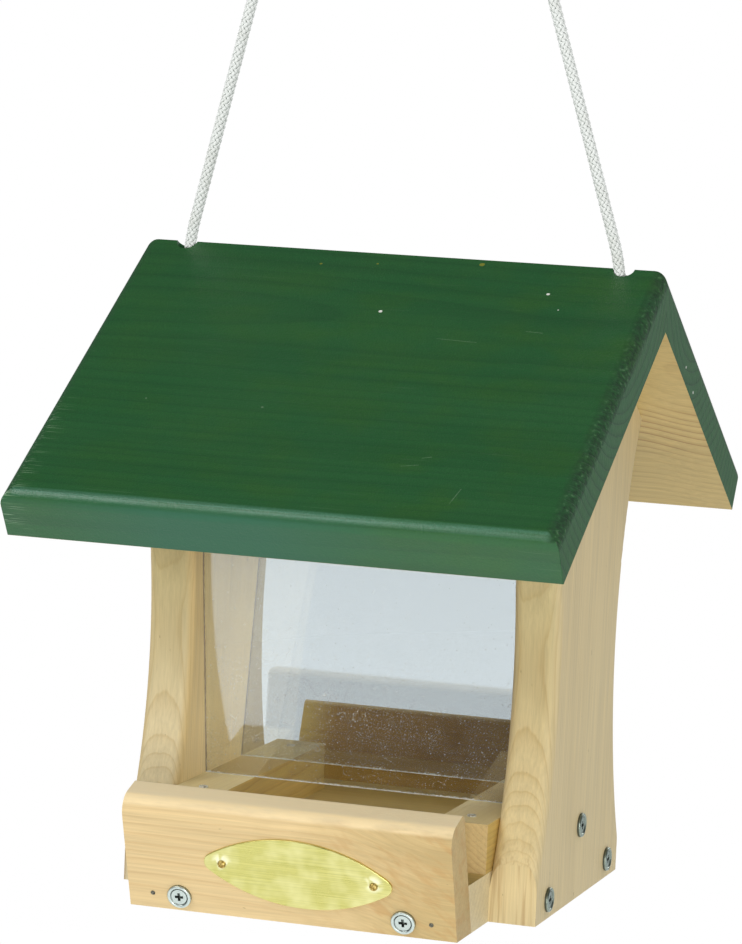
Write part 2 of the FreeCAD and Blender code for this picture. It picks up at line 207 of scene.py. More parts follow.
def evenly(line, step):
    """The same line with its points about a step apart."""
    count = max(2, round(line_length(line) / step))
    spacing = line_length(line) / count
    points = [line[0].copy()]
    walked = 0.0
    for a, b in zip(line, line[1:]):
        run = (b - a).length
        while run > 0 and len(points) < count and walked + run >= spacing * len(points):
            points.append(a.lerp(b, (spacing * len(points) - walked) / run))
        walked += run
    points.append(line[-1].copy())
    return points


def carried_frames(line):
    """Tangent and two directions across it at each point, turned no more than the bends need."""
    frames = []
    across = None
    for index in range(len(line)):
        before = line[max(index - 1, 0)]
        after = line[min(index + 1, len(line) - 1)]
        tangent = (after - before).normalized()
        if across is None:
            across = tangent.orthogonal().normalized()
        across = (across - tangent * across.dot(tangent)).normalized()
        frames.append((tangent, across, tangent.cross(across)))
    return frames


# Braided cord


def strand_vertices(points, frames, step, strand, way):
    """Rings of one strand that winds one way round the line, over one crossing strand and under another."""
    pitch = braid_pitch * cord_diameter
    crossing = pitch / (2 * strands_each_way)
    half_width = strand_half_width * cord_diameter
    half_thickness = strand_half_thickness * cord_diameter
    weave = strand_weave * cord_diameter
    middle = cord_diameter / 2 - half_thickness - weave
    lean = way * math.atan(2 * math.pi * middle / pitch)
    vertices = []
    for index, (point, (tangent, across, side)) in enumerate(zip(points, frames)):
        travel = index * step
        angle = 2 * math.pi * (strand / strands_each_way + way * travel / pitch)
        out = across * math.cos(angle) + side * math.sin(angle)
        round_way = side * math.cos(angle) - across * math.sin(angle)
        wide = round_way * math.cos(lean) - tangent * math.sin(lean)
        rise = way * weave * math.cos(math.pi * travel / crossing)
        centre = point + out * (middle + rise)
        for corner in range(strand_corners):
            turn = 2 * math.pi * corner / strand_corners
            sideways = wide * (half_width * math.cos(turn))
            outwards = out * (half_thickness * math.sin(turn))
            vertices.append(centre + sideways + outwards)
    return vertices


def core_vertices(points, frames):
    """Rings of the core that the strands lie on."""
    reach = core_radius * cord_diameter
    vertices = []
    for point, (tangent, across, side) in zip(points, frames):
        for corner in range(strands_each_way):
            turn = 2 * math.pi * corner / strands_each_way
            vertices.append(point + (across * math.cos(turn) + side * math.sin(turn)) * reach)
    return vertices


def braid_mesh(line):
    """Vertices and faces of a round braid on a core, along a line."""
    crossing = braid_pitch * cord_diameter / (2 * strands_each_way)
    points = evenly(line, crossing / samples_per_crossing)
    frames = carried_frames(points)
    step = line_length(line) / (len(points) - 1)
    vertices = []
    faces = []
    for way in (1, -1):
        for strand in range(strands_each_way):
            faces += tube_faces(len(points), strand_corners, len(vertices))
            vertices += strand_vertices(points, frames, step, strand, way)
    faces += tube_faces(len(points), strands_each_way, len(vertices))
    vertices += core_vertices(points, frames)
    return vertices, faces


def braided_piece(name, lines, material):
    """One piece of braided cord that follows several lines."""
    vertices = []
    faces = []
    for line in lines:
        more_vertices, more_faces = braid_mesh(line)
        start = len(vertices)
        vertices += more_vertices
        faces += [tuple(start + corner for corner in face) for face in more_faces]
    piece = add_piece(name, vertices, faces, material)
    return piece


def wrap_line(start, axis, turns):
    """A cord wound about an axis, diving in towards the axis at both ends."""
    across = axis.orthogonal().normalized()
    side = axis.cross(across)
    count = round(turns * wrap_points_per_turn)
    points = []
    for index in range(count + 1):
        share = index / count
        angle = 2 * math.pi * turns * share
        tuck = wrap_tuck if index in (0, count) else 1.0
        reach = wrap_radius * cord_diameter * tuck
        along = (wrap_margin + wrap_pitch * turns * share) * cord_diameter
        outwards = across * (reach * math.cos(angle)) + side * (reach * math.sin(angle))
        points.append(start + axis * along + outwards)
    return smooth_line(points)


def leg_direction(side):
    lean = cord_lean[side]
    return Vector((-sign_of[side] * math.sin(lean), 0, math.cos(lean)))


def ridge_turn(side):
    """The point at the ridge where the cord turns from the hole into its leg."""
    return Vector((sign_of[side] * cord_x, 0, cord_turn_height))


def leg_top(side):
    """The point in the middle of a leg where its knot begins."""
    length = (cord_top - cord_turn_height) / math.cos(cord_lean[side])
    return ridge_turn(side) + leg_direction(side) * length


def cord_line(side):
    """From the wall's inner face through its hole, up through the ridge and along the leg."""
    sign = sign_of[side]
    turn = ridge_turn(side)
    points = [
        Vector((sign * wall_inner, 0, cord_hole_height)),
        Vector((sign * cord_x, 0, cord_hole_height)),
        turn,
        turn + leg_direction(side) * straight_start,
        leg_top(side),
    ]
    return smooth_line(points, [1, wall_bend_weight, 1, 1, 1])


def stopper_knot(side, material):
    """Wraps and a cut end that hold the cord inside the wall."""
    inward = Vector((-sign_of[side], 0, 0))
    start = Vector((sign_of[side] * wall_inner, 0, cord_hole_height))
    wrap = wrap_line(start, inward, stopper_turns)
    length = (2 * wrap_margin + wrap_pitch * stopper_turns + tail_length) * cord_diameter
    end = start + inward * length
    droop = Vector((0, 0, tail_droop * cord_diameter))
    tail = smooth_line([start, start.lerp(end, tail_bend), end - droop])
    piece = braided_piece("stopper_" + side, [wrap, tail], material)
    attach(piece, "house")
    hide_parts("cord_knot_" + side)
    return piece


def top_loop(side, material):
    """The knot and the loop that the leg hangs from."""
    along = leg_direction(side)
    across = Vector((along.z, 0, -along.x))
    start = leg_top(side)
    wrap = wrap_line(start, along, loop_knot_turns)
    other_half = [(-wide, high) for wide, high in reversed(loop_half)]
    shape = loop_half + other_half
    bow = smooth_line([start + (across * wide + along * high) * cord_diameter for wide, high in shape])
    piece = braided_piece("loop_" + side, [wrap, bow], material)
    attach(piece, "roof")
    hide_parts("hanging_loop_" + side)
    return piece


def cord(side, material):
    """The stretch from the wall to the loop."""
    line = cord_line(side)
    piece = braided_piece("cord_" + side, [line], material)
    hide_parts("cord_inner_" + side, "cord_leg_" + side)
    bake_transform(piece)
    evenly(line, cord_diameter / 2)
    stopper_knot(side, material)
    top_loop(side, material)


# Shader nodes


def srgb(red, green, blue):
    """A colour as it looks on a screen, 0 to 255, as a shader takes it."""
    linear = []
    for value in (red, green, blue):
        value = value / 255
        linear.append(value / 12.92 if value <= 0.04045 else ((value + 0.055) / 1.055) ** 2.4)
    return (*linear, 1.0)


class ShaderTree:
    """A tree of shader nodes, and short ways to add to it."""

    def __init__(self, tree):
        self.tree = tree

    def add(self, kind):
        return self.tree.nodes.new("ShaderNode" + kind)

    def feed(self, socket, value):
        """Links a socket to a node's output, or sets it to a fixed value."""
        if isinstance(value, bpy.types.NodeSocket):
            self.tree.links.new(value, socket)
        else:
            socket.default_value = value

    def feed_all(self, sockets, values):
        for socket, value in zip(sockets, values):
            self.feed(socket, value)

    def maths(self, operation, a, b=0.0):
        node = self.add("Math")
        node.operation = operation
        self.feed_all(node.inputs, (a, b))
        return node.outputs[0]

    def times(self, first, *others):
        for other in others:
            first = self.maths("MULTIPLY", first, other)
        return first

    def most(self, first, *others):
        for other in others:
            first = self.maths("MAXIMUM", first, other)
        return first

    def rest(self, value):
        """What is left of 1."""
        return self.maths("SUBTRACT", 1.0, value)

    def sum(self, *terms):
        """Adds up (value, share) pairs."""
        total = 0.0
        for value, share in terms:
            total = self.maths("ADD", total, self.times(value, share))
        return total

    def vector(self, operation, a, b=(0, 0, 0)):
        node = self.add("VectorMath")
        node.operation = operation
        self.feed_all(node.inputs, (a, b))
        return node.outputs["Value" if operation in ("LENGTH", "DOT_PRODUCT") else "Vector"]

    def parts(self, vector):
        node = self.add("SeparateXYZ")
        self.feed(node.inputs[0], vector)
        return node.outputs[0], node.outputs[1], node.outputs[2]

    def joined(self, x, y, z):
        node = self.add("CombineXYZ")
        self.feed_all(node.inputs, (x, y, z))
        return node.outputs[0]

    def span(self, value, low, high, to_low=0.0, to_high=1.0, smooth=False):
        """The value's place between low and high, kept inside the two ends."""
        node = self.add("MapRange")
        node.interpolation_type = "SMOOTHSTEP" if smooth else "LINEAR"
        self.feed_all(node.inputs, (value, low, high, to_low, to_high))
        return node.outputs[0]

    def band(self, value, low, full, full_end, high):
        """1 between full and full_end, fading to 0 at low and at high."""
        return self.times(self.span(value, low, full), self.span(value, high, full_end))

    def curve(self, value, stops):
        """Grey levels along a value: (place, level) for each stop."""
        node = self.add("ValToRGB")
        elements = node.color_ramp.elements
        while len(elements) < len(stops):
            elements.new(1.0)
        for element, (place, level) in zip(elements, stops):
            element.position = place
            element.color = (level, level, level, 1)
        self.feed(node.inputs[0], value)
        return node.outputs[0]

    def mix(self, factor, a, b, mode="MIX"):
        """A colour between a and b."""
        node = self.add("Mix")
        node.data_type = "RGBA"
        node.blend_type = mode
        self.feed_all((node.inputs[0], node.inputs[6], node.inputs[7]), (factor, a, b))
        return node.outputs[2]

    def tint(self, factor, colour, tint):
        """A colour multiplied by a tint where the factor is 1."""
        return self.mix(factor, colour, tint, "MULTIPLY")

    def between(self, factor, a, b):
        """A number between a and b."""
        node = self.add("Mix")
        self.feed_all((node.inputs[0], node.inputs[2], node.inputs[3]), (factor, a, b))
        return node.outputs[0]

    def blend_shaders(self, factor, a, b):
        """A surface between the surfaces a and b."""
        node = self.add("MixShader")
        self.feed_all(node.inputs, (factor, a, b))
        return node.outputs[0]


class Finish(ShaderTree):
    """A material being made. Its places and sizes are in millimetres."""

    facing_start = 0.35
    facing_full = 0.9

    def __init__(self, name):
        self.material = bpy.data.materials.new(name)
        self.material.use_nodes = True
        super().__init__(self.material.node_tree)
        self.surface = self.tree.nodes["Principled BSDF"]
        self.output = self.tree.nodes["Material Output"]
        self.place = self.vector("MULTIPLY", self.add("TexCoord").outputs["Object"], (mm, mm, mm))
        self.x, self.y, self.z = self.parts(self.place)

    def set(self, **values):
        """Feeds the surface's own sockets, named with _ for a space."""
        for name, value in values.items():
            self.feed(self.surface.inputs[name.replace("_", " ")], value)

    def noise(self, size, detail=2.0, place=None, output="Fac"):
        """Smooth noise whose features have this size along each axis."""
        node = self.add("TexNoise")
        self.feed(node.inputs["Vector"], self.vector("DIVIDE", place or self.place, size))
        node.inputs["Scale"].default_value = 1.0
        node.inputs["Detail"].default_value = detail
        return node.outputs[output]

    def even_noise(self, size, detail=2.0):
        """Smooth noise whose features have the same size all ways."""
        return self.noise((size, size, size), detail)

    def normal(self, axis):
        """The part of a face's direction along an axis: 1 towards it, 0 across it, -1 away from it."""
        return self.parts(self.add("NewGeometry").outputs["Normal"])["XYZ".index(axis)]

    def facing(self, axis, sign=1):
        """1 on faces turned towards an axis, 0 on the others. A sign of 0 takes both of its ways."""
        part = self.normal(axis)
        part = self.times(part, sign) if sign else self.maths("ABSOLUTE", part)
        return self.span(part, self.facing_start, self.facing_full)

    def away_from(self, place):
        """Distance from a place."""
        return self.vector("LENGTH", self.vector("SUBTRACT", self.place, place))

    def crevice(self, reach):
        """1 in corners and holes narrower than this reach, 0 in the open."""
        node = self.add("AmbientOcclusion")
        node.inputs["Distance"].default_value = reach / mm
        return self.rest(node.outputs["AO"])

    def bump(self, height):
        """Bumps the surface by a height."""
        node = self.add("Bump")
        node.inputs["Distance"].default_value = 1 / mm
        self.feed(node.inputs["Height"], height)
        self.set(Normal=node.outputs[0])


# Planed pine

Pine = namedtuple("Pine", "colour fibre height late")
fibre_axes = {"X": (1, 2, 0), "Y": (2, 0, 1), "Z": (0, 1, 2)}
ring_shades = [(0.0, 0.1), (0.4, 0.0), (0.78, 0.4), (0.93, 1.0), (1.0, 0.1)]
nick_brown = srgb(104, 76, 44)


def log_place(shader, grain, pith, swirl):
    """Places in the log that a board was cut from: two ways across its fibres, then along them."""
    axes = (shader.x, shader.y, shader.z)
    first, second, along = (axes[index] for index in fibre_axes[grain])
    first = shader.maths("SUBTRACT", first, pith[0])
    second = shader.maths("SUBTRACT", second, pith[1])
    if swirl:
        start, length, drop = swirl
        bend = shader.span(along, start, start + length, 0.0, drop, smooth=True)
        second = shader.maths("ADD", second, bend)
    return shader.joined(first, second, along)


def late_wood(shader, log, ring):
    """1 in the dark line at the end of each year's ring, 0 in the pale wood before it."""
    wander = shader.noise((60, 60, 260), 1.0, log, "Color")
    wander = shader.vector("SUBTRACT", wander, (0.5, 0.5, 0.5))
    bent = shader.vector("ADD", log, shader.vector("MULTIPLY", wander, (14, 14, 0)))
    distance = shader.vector("LENGTH", shader.vector("MULTIPLY", bent, (1, 1, 0)))
    uneven = shader.noise((9, 9, 9), 1.0, shader.joined(distance, 0.0, 0.0))
    jitter = shader.noise((4, 4, 20), 2.0, log)
    years = shader.sum((distance, 1 / ring), (uneven, 5 / ring), (jitter, 0.8 / ring))
    return shader.curve(shader.maths("FRACT", years), ring_shades)


def pine(shader, grain, pith, ring, contrast, light, dark, swirl=None):
    """Planed pine. Its fibres run along grain. Its rings are about this far apart, and their middle is at
    pith, along the other two axes. A swirl is the start, length and drop of a bend in the fibres."""
    log = log_place(shader, grain, pith, swirl)
    late = late_wood(shader, log, ring)
    strength = shader.span(shader.noise((45, 45, 150), 1.0, log), 0.35, 0.65, 0.15, 1.0)
    colour = shader.mix(shader.times(late, strength, contrast), light, dark)
    fibre = shader.noise((0.5, 0.5, 22), 3.0, log)
    fleck = shader.noise((1.1, 1.1, 50), 2.0, log)
    streak = shader.noise((4, 4, 90), 2.0, log)
    cloud = shader.noise((30, 30, 90), 2.0, log)
    shade = shader.sum((fibre, 0.26), (fleck, 0.3), (streak, 0.16), (cloud, 0.2))
    shade = shader.maths("ADD", shade, 0.54)
    colour = shader.tint(1.0, colour, shader.joined(shade, shade, shade))
    nick = shader.span(shader.noise((1.3, 1.3, 4), 1.0, log), 0.79, 0.83, 0.0, 0.45)
    colour = shader.mix(nick, colour, nick_brown)
    height = shader.sum((late, 0.03), (fibre, 0.09), (fleck, 0.05), (nick, -0.2))
    return Pine(colour, fibre, height, late)


def finish_pine(shader, colour, fibre, height):
    """Sets the surface of a planed board."""
    shader.set(Base_Color=colour, Roughness=shader.span(fibre, 0.3, 0.7, 0.5, 0.66))
    shader.set(Specular_IOR_Level=0.4)
    shader.bump(height)
    return shader.material


def off_pane(shader):
    """How far a point lies outside the middle of the nearer pane."""
    foot = pane_foot_depth - pane_foot * math.tan(pane_lean)
    middle = shader.maths("ADD", shader.times(shader.z, math.tan(pane_lean)), foot)
    return shader.maths("SUBTRACT", shader.maths("ABSOLUTE", shader.y), middle)


# Seed tray. Each fade is the place along the rail where a change starts and where it is full

mottle_fade = (20, 90)
figure_fade = (4, 34)
# The next two fades set where the rear rail's painted shade lightens towards its ends
left_shade_fade = (-76, -50)
right_shade_fade = (10, 80)


def rail_figure(shader):
    """Dark slanting figure in the right half of the front rail."""
    across = shader.sum((shader.x, 0.8), (shader.z, -0.6))
    along = shader.sum((shader.x, 0.6), (shader.z, 0.8))
    figure = shader.noise((13, 5, 3.5), 3.0, shader.joined(across, shader.y, along))
    return shader.times(shader.span(figure, 0.5, 0.66, 0.0, 0.45), shader.span(shader.x, *figure_fade))


def rail_crest_wear_and_highlight(shader):
    """The round-over between the front rail's face and its top: rubbed pale, with a painted highlight along
    it.
    """
    bend = shader.band(shader.normal("Z"), 0.3, 0.5, 0.86, 0.96)
    return shader.times(bend, shader.span(shader.noise((12, 3, 3), 3.0), 0.35, 0.6, 0.3, 0.8))


def front_rail_pine():
    """The front rail: its fibres swirl and it darkens towards the right. Its top is painted lighter, as if
    lit from above, its round-over is rubbed pale under a painted highlight, and its back side, inside the
    tray, is darkened as painted shade."""
    shader = Finish("pine_rail_front")
    light = srgb(227, 201, 150)
    dark = srgb(200, 158, 100)
    wood = pine(shader, "X", (-60, 5), ring=2.6, contrast=0.3, light=light, dark=dark, swirl=(18, 45, 12))
    mottle = shader.sum((shader.x, 1.0), (shader.even_noise(16, 3.0), 60))
    colour = shader.tint(shader.span(mottle, *mottle_fade), wood.colour, srgb(227, 224, 210))
    colour = shader.mix(rail_figure(shader), colour, srgb(194, 148, 90))
    # Painted light: the top faces are made paler, as if lit from above.
    colour = shader.mix(shader.times(shader.facing("Z"), 0.75), colour, srgb(242, 228, 194))
    # Rubbed pale round-over with a painted highlight.
    colour = shader.mix(rail_crest_wear_and_highlight(shader), colour, srgb(252, 228, 178))
    # Painted shade: the back side, inside the tray, is darkened.
    colour = shader.tint(shader.facing("Y"), colour, srgb(138, 104, 24))
    return finish_pine(shader, colour, wood.fibre, wood.height)


def rear_rail_pine():
    """The rear rail: its inner side is darkened as painted shade, most of all in the middle."""
    shader = Finish("pine_rail_rear")
    light = srgb(226, 202, 150)
    dark = srgb(200, 164, 108)
    left_shade = srgb(250, 244, 160)
    middle_shade = srgb(166, 136, 16)
    right_shade = srgb(236, 208, 20)
    wood = pine(shader, "X", (70, -10), ring=3.4, contrast=0.6, light=light, dark=dark)
    # Painted shade on the inner side: darkest in the middle, lighter towards both ends.
    inner_shade = shader.mix(shader.span(shader.x, *right_shade_fade), middle_shade, right_shade)
    inner_shade = shader.mix(shader.span(shader.x, *left_shade_fade), left_shade, inner_shade)
    colour = shader.tint(shader.facing("Y", -1), wood.colour, inner_shade)
    return finish_pine(shader, colour, wood.fibre, wood.height)


def block_pine():
    """A cross block: its top is painted lighter as if lit from above, its top between the panes is darkened
    as painted shade, and its sides carry painted shade.
    """
    shader = Finish("pine_block")
    light = srgb(210, 184, 126)
    dark = srgb(172, 132, 76)
    wood = pine(shader, "Y", (120, 140), ring=2.2, contrast=0.6, light=light, dark=dark)
    top = shader.facing("Z")
    # Painted light on the top faces.
    colour = shader.mix(shader.times(top, 0.7), wood.colour, srgb(220, 204, 152))
    # Painted shade on the top between the panes, deep under the roof.
    shaded_between_panes = shader.times(top, shader.span(off_pane(shader), -1.5, 0.5, 1.0, 0.0))
    colour = shader.tint(shaded_between_panes, colour, srgb(222, 206, 172))
    # Painted shade on the sides and ends.
    colour = shader.tint(shader.facing("X", 0), colour, srgb(250, 244, 206))
    colour = shader.tint(shader.facing("Y", 0), colour, srgb(243, 240, 238))
    return finish_pine(shader, colour, wood.fibre, wood.height)


def floor_pine():
    """The floor board: its top is darkened as painted shade."""
    shader = Finish("pine_floor")
    light = srgb(226, 210, 168)
    dark = srgb(198, 170, 120)
    wood = pine(shader, "X", (10, -60), ring=3.4, contrast=0.6, light=light, dark=dark)
    # Painted shade on the top, deep in the tray under the roof.
    colour = shader.tint(shader.facing("Z"), wood.colour, srgb(210, 197, 150))
    return finish_pine(shader, colour, wood.fibre, wood.height)


# Side walls. Each fade is the height where a change starts and where it is full

# The foot and top fades blend painted light at the foot and painted shade under the eave
foot_fade = (14, 32)
top_fade = (60, 170)
split_fade = (34, 22)


def wall_depth(shader):
    """How far a point lies behind the walls' inner faces."""
    return shader.maths("SUBTRACT", shader.maths("ABSOLUTE", shader.x), wall_face)


def groove_dirt_and_shade(shader):
    """1 on the ragged lips and the inside of the grooves that the panes stand in, which are dirty and get
    painted shade.
    """
    ragged = shader.noise((1.2, 1.2, 3.0), 2.0)
    off = shader.maths("ABSOLUTE", off_pane(shader))
    lip = shader.span(shader.sum((off, 1.0), (ragged, -0.9)), 0.85, 1.1, 1.0, 0.0)
    inner = shader.span(wall_depth(shader), groove_depth + 0.4, groove_depth)
    above = shader.span(shader.z, pane_foot - 0.5, pane_foot)
    return shader.times(lip, inner, above)


def behind_pane(shader):
    """1 on the inner faces behind the rear pane, where painted shade darkens the wall."""
    inner_face = shader.span(wall_depth(shader), 0.6, 0.3)
    return shader.times(shader.span(off_pane(shader), 0.8, 1.6), shader.span(shader.y, 0, 1), inner_face)


def wall_pine(name, pith, light, dark, face_tint, edge_shading_tints):
    """A side wall: its faces have one tint, and its swept edges one each for the foot, the middle and the
    top, lighter at the foot as painted light and darker at the top as painted shade under the eave. Its
    foot has fine splits, its grooves are dirty and darkened by painted shade, and its inner faces behind
    the rear pane carry painted shade."""
    shader = Finish(name)
    flat = shader.facing("X", 0)
    contrast = shader.between(flat, 0.5, 0.35)
    wood = pine(shader, "Z", pith, ring=1.9, contrast=contrast, light=light, dark=dark)
    # Painted light and shade on the swept edges: lighter at the foot, darker at the top under the eave.
    foot, middle, top = edge_shading_tints
    edge = shader.mix(shader.span(shader.z, *top_fade), middle, top)
    edge = shader.mix(shader.span(shader.z, *foot_fade), foot, edge)
    colour = shader.tint(1.0, wood.colour, shader.mix(flat, edge, face_tint))
    split = shader.span(shader.noise((1.5, 1.5, 40), 2.0), 0.52, 0.66, 0.0, 0.45)
    split = shader.times(split, shader.span(shader.z, *split_fade), shader.rest(flat))
    colour = shader.mix(split, colour, srgb(160, 118, 66))
    darkening = groove_dirt_and_shade(shader)
    # Grime and painted shade in the grooves beside the panes.
    colour = shader.mix(shader.times(darkening, 0.8), colour, srgb(122, 88, 46))
    # Painted shade on the inner faces behind the rear pane.
    colour = shader.tint(behind_pane(shader), colour, srgb(206, 202, 198))
    return finish_pine(shader, colour, wood.fibre, shader.sum((wood.height, 1.0), (darkening, -0.2)))


# Roof


def on_slope(x, y):
    """A place on the front slope."""
    return (x, y, ridge_height - abs(y) * math.tan(roof_slope))


# Chips in the paint: their place, radius and what shows there
white_ground = srgb(230, 232, 224)
old_varnish = srgb(120, 126, 40)
pale_scuff = srgb(96, 128, 96)
roof_chips = [
    (on_slope(2.6, -32.4), 0.75, white_ground),
    (on_slope(65.4, -16.7), 0.65, white_ground),
    (on_slope(72.1, -25.1), 0.3, white_ground),
    (on_slope(33.9, -2.6), 1.0, old_varnish),
    (on_slope(-24.7, -88.0), 0.45, pale_scuff),
    (on_slope(-72.0, -88.0), 0.35, pale_scuff),
    (on_slope(-31.0, -8.0), 0.5, old_varnish),
    (on_slope(-8.0, -6.0), 0.4, old_varnish),
    ((108.7, 36.6, 210.2), 0.6, white_ground),
    ((108.7, 50.6, 199.0), 0.6, white_ground),
]

# Long scratches on the front slope: the places of their two ends
roof_scratches = [
    ((30.0, -45.1), (45.9, -45.7)),
    ((63.3, -37.9), (69.8, -38.2)),
    ((65.4, -121.1), (63.4, -128.8)),
    ((39.2, -112.2), (45.4, -111.0)),
    ((45.7, -107.4), (49.2, -106.5)),
]

# Where the finish changes: the heights of the figured band underneath, places along the roof from left to
# right, and the depths of the scraped corner
figured_band = (168, 176, 190, 197)
yellow_fade = (-110, 110)
# The blue band places a painted bluish sheen on the eave; the fade near the gables ends the eave's painted
# highlight
blue_sheen_band = (-90, -45, -5, 50)
end_fade = (roof_end - 0.5, roof_end - 0.1)
rim_fade = (roof_end - 6.5, roof_end - 2.5)
painted_gleam_fade = (roof_end - 3, roof_end - 5)
scraped_left = (12 - roof_end, 2 - roof_end)
scraped_low = (-84, -100)

Paint = namedtuple("Paint", "brush cloud nib crumb end rim")


def paint_on(shader):
    """The paint's unevenness, from brush strokes to crumbs, and 1 on the end grain and the gable's rim."""
    reach = shader.maths("ABSOLUTE", shader.x)
    return Paint(
        brush=shader.noise((70, 0.8, 0.8), 2.0),
        cloud=shader.noise((45, 30, 30), 2.0),
        nib=shader.even_noise(0.7, 3.0),
        crumb=shader.even_noise(1.8, 3.0),
        end=shader.span(reach, *end_fade),
        rim=shader.times(shader.span(shader.x, *rim_fade), shader.span(shader.normal("Z"), 0.0, 0.15)),
    )


def brushed_green(shader, paint, late):
    """The coat of paint: yellowed in patches, streaked by the brush, and darker over the wood's rings."""
    yellow = shader.span(shader.noise((26, 18, 18), 3.0), 0.42, 0.66, 0.0, 0.7)
    yellow = shader.times(yellow, shader.span(shader.x, *yellow_fade, 0.4, 1.0))
    streak = shader.span(shader.noise((160, 5, 5), 2.0), 0.4, 0.7, 0.0, 0.35)
    green = shader.mix(paint.cloud, srgb(28, 89, 46), srgb(41, 98, 47))
    green = shader.mix(yellow, green, srgb(49, 97, 33))
    green = shader.mix(streak, green, srgb(23, 76, 37))
    green = shader.mix(shader.span(paint.nib, 0.35, 0.65, 0.35, 0.0), green, srgb(20, 72, 34))
    green = shader.mix(shader.span(paint.brush, 0.5, 0.8, 0.0, 0.16), green, srgb(46, 96, 52))
    return shader.mix(shader.times(late, 0.3), green, srgb(18, 66, 34))


def rough_ends(shader, green, paint, late):
    """Paint over the end grain and along the gable's rim, where it is dark, crumbling and torn; the rim's
    darkness is partly painted shade.
    """
    green = shader.mix(shader.times(paint.end, 0.5), green, srgb(52, 92, 58))
    green = shader.mix(shader.times(paint.end, late, 0.5), green, srgb(24, 52, 32))
    # Dark crumbling paint along the rim, which also stands in for shade there.
    crumbled_and_shaded = shader.times(paint.rim, shader.span(paint.crumb, 0.35, 0.6, 0.8, 0.2))
    green = shader.mix(crumbled_and_shaded, green, srgb(14, 46, 24))
    torn = shader.times(paint.rim, shader.span(paint.crumb, 0.62, 0.68, 0.0, 0.5))
    return shader.mix(torn, green, srgb(84, 124, 84))


def eave_sheen_and_highlight(shader, green, paint):
    """Paint on the eave: a painted bluish sheen towards its middle, and a painted highlight along its
    round-over.
    """
    up = shader.normal("Z")
    blue = shader.between(shader.band(shader.x, *blue_sheen_band), 0.1, 0.8)
    # Painted reflection: a bluish sheen on the eave's face.
    green = shader.mix(shader.times(shader.span(up, 0.4, -0.1), blue), green, srgb(27, 92, 66))
    off_end = shader.span(shader.maths("ABSOLUTE", shader.x), *painted_gleam_fade)
    gleam_mottle = shader.span(shader.sum((paint.nib, 0.3), (paint.brush, 0.7)), 0.36, 0.64, 0.12, 0.46)
    # Painted highlight along the eave's round-over, mottled by the brush and nib.
    painted_gleam = shader.times(shader.band(up, 0.1, 0.45, 0.65, 0.8), off_end, gleam_mottle)
    return shader.mix(painted_gleam, green, srgb(96, 150, 132))


def scratch(shader, start, end, uneven):
    """1 on a hair line between two places on the front slope, broken by an uneven value."""
    start = Vector(on_slope(*start))
    run = Vector(on_slope(*end)) - start
    offset = shader.vector("SUBTRACT", shader.place, start)
    along = shader.vector("DOT_PRODUCT", offset, run.normalized())
    along = shader.span(along, 0.0, run.length, 0.0, run.length)
    nearest = shader.vector("MULTIPLY", shader.joined(along, along, along), run.normalized())
    away = shader.vector("LENGTH", shader.vector("SUBTRACT", offset, nearest))
    return shader.span(shader.sum((away, 1.0), (uneven, 0.6)), 0.36, 0.5, 0.5, 0.0)


def scrapes(shader, uneven):
    """1 where the paint is scraped: fine lines in the lower left corner, and the long scratches."""
    corner = shader.times(shader.span(shader.x, *scraped_left), shader.span(shader.y, *scraped_low))
    fine = shader.span(shader.noise((20, 0.55, 0.55), 1.0), 0.61, 0.66)
    long = [scratch(shader, start, end, uneven) for start, end in roof_scratches]
    return shader.most(shader.times(corner, fine), *long)


def marked_green(shader, green, scrape, uneven):
    """Paint with its scrapes, scuffs, flecks and chips."""
    scuff = shader.span(shader.noise((44, 0.5, 0.5), 1.0), 0.75, 0.79, 0.0, 0.22)
    fleck = shader.span(shader.even_noise(0.6, 1.0), 0.79, 0.83, 0.0, 0.35)
    green = shader.mix(shader.most(scrape, scuff, fleck), green, srgb(112, 146, 112))
    for place, radius, ground in roof_chips:
        away = shader.sum((shader.away_from(place), 1.0), (uneven, 0.8))
        green = shader.mix(shader.span(away, radius + 0.3, radius + 0.5), ground, green)
    return green


def painted_side(shader):
    """1 on the painted sides of a roof board, 0 on its bare underside."""
    outwards = shader.times(shader.maths("ABSOLUTE", shader.y), math.sin(roof_slope))
    upwards = shader.times(shader.z, math.cos(roof_slope))
    under = ridge_height * math.cos(roof_slope) - roof_thickness
    return shader.span(shader.maths("ADD", outwards, upwards), under + 0.02, under + 0.08)


def roof_finish(name, pith, swirl=None):
    """Green gloss paint outside, rough over the end grain, and bare pine with a figured band underneath."""
    shader = Finish(name)
    light = srgb(202, 180, 120)
    dark = srgb(152, 112, 58)
    figured = shader.between(shader.band(shader.z, *figured_band), 0.3, 1.0)
    wood = pine(shader, "X", pith, ring=4.4, contrast=figured, light=light, dark=dark, swirl=swirl)
    paint = paint_on(shader)
    scrape = scrapes(shader, paint.nib)
    green = brushed_green(shader, paint, wood.late)
    green = rough_ends(shader, green, paint, wood.late)
    green = eave_sheen_and_highlight(shader, green, paint)
    green = marked_green(shader, green, scrape, paint.crumb)
    rugged = shader.most(paint.end, paint.rim)
    rough = shader.between(rugged, shader.span(paint.cloud, 0.3, 0.7, 0.32, 0.42), 0.85)
    smooth_height = shader.sum(
        (paint.brush, 0.02), (paint.nib, 0.14), (paint.crumb, 0.1), (wood.height, 0.3), (scrape, -0.05)
    )
    rugged_height = shader.sum((wood.late, -0.12), (paint.crumb, 0.35), (paint.nib, 0.1))
    paint_height = shader.between(rugged, smooth_height, rugged_height)
    painted = painted_side(shader)
    shader.set(Base_Color=shader.mix(painted, wood.colour, green))
    shader.set(Roughness=shader.between(painted, 0.6, rough))
    shader.bump(shader.between(painted, wood.height, paint_height))
    return shader.material


# Panes


